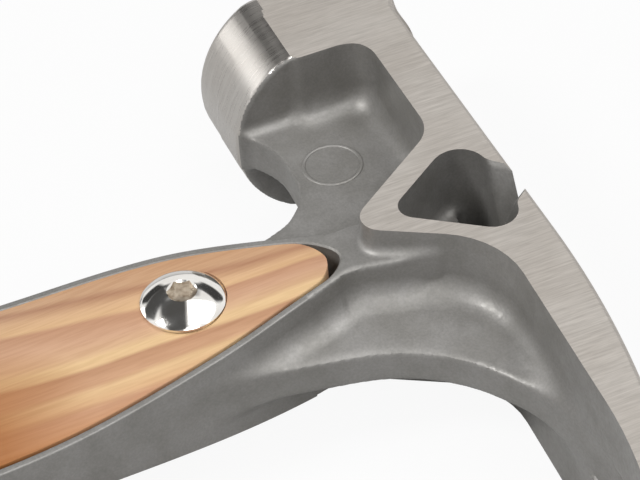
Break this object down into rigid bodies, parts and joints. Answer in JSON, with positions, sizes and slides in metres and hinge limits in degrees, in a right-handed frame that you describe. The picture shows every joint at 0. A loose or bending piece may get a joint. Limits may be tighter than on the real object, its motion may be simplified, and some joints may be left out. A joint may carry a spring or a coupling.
{
  "type": "straight claw hammer",
  "caption": "One-piece cast framing hammer with a round poll, pocketed head, straight claws, a side nail notch and wooden grip scales held by domed through fasteners.",
  "frame": {"origin": "middle of the bounding box at the level of the lower ground side, on which the hammer lies", "axes": "+X from the striking face to the claws, +Y from the butt to the top of the head, +Z square to the ground sides"},
  "size_m": [0.15, 0.4, 0.031],
  "materials": {
    "cast_body": "blasted casting with ground sides",
    "grip_wood": "oiled",
    "fasteners": "polished"
  },
  "bodies": {
    "root": {"hammer_body": "cast_body", "grip_scale_top": "grip_wood", "grip_scale_bottom": "grip_wood", "scale_screw_1": "fasteners", "scale_screw_2": "fasteners", "scale_screw_3": "fasteners", "scale_nut_1": "fasteners", "scale_nut_2": "fasteners", "scale_nut_3": "fasteners"}
  },
  "joints": []
}
